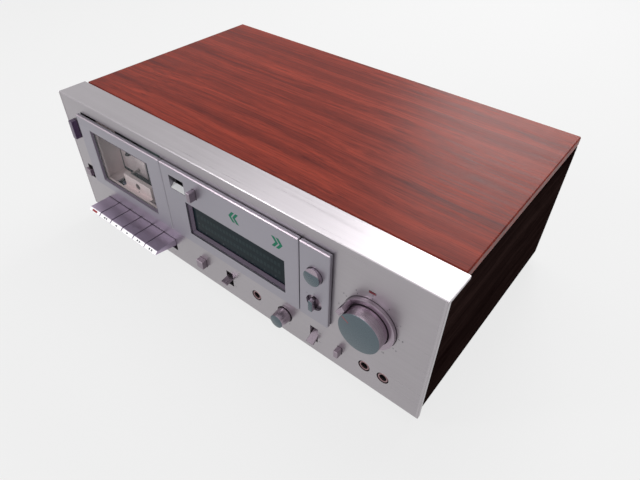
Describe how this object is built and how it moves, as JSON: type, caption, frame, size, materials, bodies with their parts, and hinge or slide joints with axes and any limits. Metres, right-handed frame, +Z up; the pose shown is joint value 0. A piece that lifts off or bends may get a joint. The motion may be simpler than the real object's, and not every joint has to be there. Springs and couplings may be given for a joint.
{
  "type": "cassette deck",
  "caption": "Front-loading cassette deck in a wood-covered cabinet, with an aluminium front, piano keys, a tip-out door, a level meter and turning controls.",
  "frame": {"origin": "middle of the bounding box, on the ground under the feet", "axes": "+X towards the level knob's end of the front panel, -Y out of the front face, +Z up"},
  "size_m": [0.44, 0.2828, 0.152],
  "materials": {
    "panel_aluminium": "fine horizontal brushing, satin, clear anodised",
    "block_aluminium": "satin, slightly darker and bluer than the panel",
    "control_aluminium": "turned and brushed",
    "key_aluminium": "satin, fine brushing",
    "wood_veneer": "reddish wood grain, semi-matt",
    "black_steel": "semi-matt black",
    "plated_steel": "plated",
    "flywheel_metal": "turned",
    "pulley_brass": "turned",
    "black_plastic": "matt black",
    "cream_plastic": "satin",
    "clear_window": "clear acrylic",
    "display_glass": "dark smoked, glossy",
    "lamp_red": "deep red, unlit",
    "rubber": "matt black",
    "circuit_board": "green laminate",
    "transformer_core": "varnished core and wrapped coil"
  },
  "bodies": {
    "chassis": {"front_panel": "panel_aluminium", "meter_panel": "block_aluminium", "knob_panel": "block_aluminium", "cabinet_top": "wood_veneer", "cabinet_left_side": "wood_veneer", "cabinet_right_side": "wood_veneer", "bottom_plate": "black_steel", "rear_panel": "black_steel", "mechanism_plate": "plated_steel", "drive_motor": "plated_steel", "key_shaft": "plated_steel", "meter_bezel": "black_plastic", "counter_housing": "black_plastic", "headphone_jack": "black_plastic", "mic_jack_left": "black_plastic", "mic_jack_right": "black_plastic", "terminal_block": "black_plastic", "meter_display": "display_glass", "record_lamp": "lamp_red", "foot_1": "rubber", "foot_2": "rubber", "foot_3": "rubber", "foot_4": "rubber", "drive_belt": "rubber", "cord_gland": "rubber", "main_circuit_board": "circuit_board", "transformer": "transformer_core"},
    "door": {"door_frame": "block_aluminium", "door_window": "clear_window", "cassette_holder": "cream_plastic"},
    "head_carriage": {"head_carriage": "plated_steel", "tape_head": "plated_steel"},
    "key_1": {"key_1": "key_aluminium"},
    "key_2": {"key_2": "key_aluminium"},
    "key_3": {"key_3": "key_aluminium"},
    "key_4": {"key_4": "key_aluminium"},
    "key_5": {"key_5": "key_aluminium"},
    "key_6": {"key_6": "key_aluminium"},
    "power_button": {"power_button": "black_plastic"},
    "timer_switch": {"timer_switch": "control_aluminium"},
    "square_button": {"square_button": "control_aluminium"},
    "small_button": {"small_button": "control_aluminium"},
    "counter_reset_button": {"counter_reset_button": "control_aluminium"},
    "round_button": {"round_button": "control_aluminium"},
    "lever_left": {"lever_left": "control_aluminium"},
    "lever_right": {"lever_right": "control_aluminium"},
    "output_knob": {"output_knob": "control_aluminium"},
    "level_knob": {"level_knob": "control_aluminium"},
    "level_ring": {"level_ring": "control_aluminium"},
    "selector_knob": {"selector_knob": "control_aluminium"},
    "counter_wheel_1": {"counter_wheel_1": "black_plastic"},
    "counter_wheel_2": {"counter_wheel_2": "black_plastic"},
    "counter_wheel_3": {"counter_wheel_3": "black_plastic"},
    "reel_spindle_left": {"reel_spindle_left": "black_plastic"},
    "reel_spindle_right": {"reel_spindle_right": "black_plastic"},
    "capstan_left": {"capstan_left": "flywheel_metal"},
    "capstan_right": {"capstan_right": "flywheel_metal"},
    "motor_pulley": {"motor_pulley": "pulley_brass"},
    "pinch_roller_left": {"pinch_roller_left": "rubber"},
    "pinch_roller_right": {"pinch_roller_right": "rubber"}
  },
  "joints": [
    {"name": "door_hinge", "type": "hinge", "parent": "chassis", "child": "door", "pos_m": [-0.12545, -0.1091, 0.0574], "axis": [1, 0, 0], "range_deg": [0, 28]},
    {"name": "key_1_press", "type": "hinge", "parent": "chassis", "child": "key_1", "pos_m": [-0.17275, -0.1011, 0.032], "axis": [1, 0, 0], "range_deg": [0, 8], "stiffness_Nm_per_rad": 0.6, "springref_deg": -8.59},
    {"name": "key_2_press", "type": "hinge", "parent": "chassis", "child": "key_2", "pos_m": [-0.15365, -0.1011, 0.032], "axis": [1, 0, 0], "range_deg": [0, 8], "stiffness_Nm_per_rad": 0.6, "springref_deg": -8.59},
    {"name": "key_3_press", "type": "hinge", "parent": "chassis", "child": "key_3", "pos_m": [-0.13455, -0.1011, 0.032], "axis": [1, 0, 0], "range_deg": [0, 8], "stiffness_Nm_per_rad": 0.6, "springref_deg": -8.59},
    {"name": "key_4_press", "type": "hinge", "parent": "chassis", "child": "key_4", "pos_m": [-0.11545, -0.1011, 0.032], "axis": [1, 0, 0], "range_deg": [0, 8]},
    {"name": "key_5_press", "type": "hinge", "parent": "chassis", "child": "key_5", "pos_m": [-0.09635, -0.1011, 0.032], "axis": [1, 0, 0], "range_deg": [0, 8], "stiffness_Nm_per_rad": 0.6, "springref_deg": -8.59},
    {"name": "key_6_press", "type": "hinge", "parent": "chassis", "child": "key_6", "pos_m": [-0.07725, -0.1011, 0.032], "axis": [1, 0, 0], "range_deg": [0, 8], "stiffness_Nm_per_rad": 0.6, "springref_deg": -8.59},
    {"name": "head_carriage_slide", "type": "slide", "parent": "chassis", "child": "head_carriage", "axis": [0, 0, 1], "range_m": [0, 0.008], "stiffness_N_per_m": 400, "springref_m": -0.003},
    {"name": "pinch_roller_left_spin", "type": "hinge", "parent": "head_carriage", "child": "pinch_roller_left", "pos_m": [-0.14995, -0.0991, 0.0583], "axis": [0, 1, 0], "continuous": true},
    {"name": "capstan_left_spin", "type": "hinge", "parent": "chassis", "child": "capstan_left", "pos_m": [-0.14995, -0.0831, 0.0745], "axis": [0, 1, 0], "continuous": true},
    {"name": "reel_spindle_left_spin", "type": "hinge", "parent": "chassis", "child": "reel_spindle_left", "pos_m": [-0.1467, -0.0886, 0.1005], "axis": [0, 1, 0], "continuous": true},
    {"name": "pinch_roller_right_spin", "type": "hinge", "parent": "head_carriage", "child": "pinch_roller_right", "pos_m": [-0.10095, -0.0991, 0.0583], "axis": [0, 1, 0], "continuous": true},
    {"name": "capstan_right_spin", "type": "hinge", "parent": "chassis", "child": "capstan_right", "pos_m": [-0.10095, -0.0831, 0.0745], "axis": [0, 1, 0], "continuous": true},
    {"name": "reel_spindle_right_spin", "type": "hinge", "parent": "chassis", "child": "reel_spindle_right", "pos_m": [-0.1042, -0.0886, 0.1005], "axis": [0, 1, 0], "continuous": true},
    {"name": "motor_pulley_spin", "type": "hinge", "parent": "chassis", "child": "motor_pulley", "pos_m": [-0.13175, -0.0831, 0.12108], "axis": [0, 1, 0], "continuous": true},
    {"name": "counter_wheel_1_spin", "type": "hinge", "parent": "chassis", "child": "counter_wheel_1", "pos_m": [-0.0446, -0.1076, 0.12205], "axis": [1, 0, 0], "continuous": true},
    {"name": "counter_wheel_2_spin", "type": "hinge", "parent": "chassis", "child": "counter_wheel_2", "pos_m": [-0.0401, -0.1076, 0.12205], "axis": [1, 0, 0], "continuous": true},
    {"name": "counter_wheel_3_spin", "type": "hinge", "parent": "chassis", "child": "counter_wheel_3", "pos_m": [-0.0356, -0.1076, 0.12205], "axis": [1, 0, 0], "continuous": true},
    {"name": "power_button_press", "type": "slide", "parent": "chassis", "child": "power_button", "axis": [0, 1, 0], "range_m": [0, 0.004], "stiffness_N_per_m": 800, "springref_m": -0.002},
    {"name": "square_button_press", "type": "slide", "parent": "chassis", "child": "square_button", "axis": [0, 1, 0], "range_m": [0, 0.003], "stiffness_N_per_m": 500, "springref_m": -0.002},
    {"name": "small_button_press", "type": "slide", "parent": "chassis", "child": "small_button", "axis": [0, 1, 0], "range_m": [0, 0.003], "stiffness_N_per_m": 500, "springref_m": -0.002},
    {"name": "counter_reset_press", "type": "slide", "parent": "chassis", "child": "counter_reset_button", "axis": [0, 1, 0], "range_m": [0, 0.003], "stiffness_N_per_m": 500, "springref_m": -0.002},
    {"name": "round_button_press", "type": "slide", "parent": "chassis", "child": "round_button", "axis": [0, 1, 0], "range_m": [0, 0.002], "stiffness_N_per_m": 500, "springref_m": -0.002},
    {"name": "timer_switch_slide", "type": "slide", "parent": "chassis", "child": "timer_switch", "axis": [0, 0, 1], "range_m": [-0.0036, 0.0036]},
    {"name": "lever_left_tip", "type": "hinge", "parent": "chassis", "child": "lever_left", "pos_m": [0.0105, -0.1031, 0.0371], "axis": [1, 0, 0], "range_deg": [-19, 19]},
    {"name": "lever_right_tip", "type": "hinge", "parent": "chassis", "child": "lever_right", "pos_m": [0.11351, -0.1031, 0.0371], "axis": [1, 0, 0], "range_deg": [-38, 0]},
    {"name": "output_knob_turn", "type": "hinge", "parent": "chassis", "child": "output_knob", "pos_m": [0.08, -0.1151, 0.0349], "axis": [0, 1, 0], "range_deg": [-150, 150]},
    {"name": "level_knob_turn", "type": "hinge", "parent": "chassis", "child": "level_knob", "pos_m": [0.1662, -0.1151, 0.091], "axis": [0, 1, 0], "range_deg": [-90, 210]},
    {"name": "level_ring_turn", "type": "hinge", "parent": "chassis", "child": "level_ring", "pos_m": [0.1662, -0.1151, 0.091], "axis": [0, 1, 0], "range_deg": [-90, 210]},
    {"name": "selector_knob_turn", "type": "hinge", "parent": "chassis", "child": "selector_knob", "pos_m": [0.1166, -0.1151, 0.0804], "axis": [0, 1, 0], "range_deg": [-45, 45]}
  ],
  "couplings": [
    {"joint": "key_4_press", "follows": "head_carriage_slide", "rad_per_m": 17.45},
    {"joint": "capstan_right_spin", "follows": "capstan_left_spin", "ratio": -1},
    {"joint": "motor_pulley_spin", "follows": "capstan_left_spin", "ratio": 4.3091},
    {"joint": "counter_wheel_3_spin", "follows": "reel_spindle_right_spin", "ratio": 0.05},
    {"joint": "counter_wheel_2_spin", "follows": "reel_spindle_right_spin", "ratio": 0.005},
    {"joint": "counter_wheel_1_spin", "follows": "reel_spindle_right_spin", "ratio": 0.0005}
  ]
}
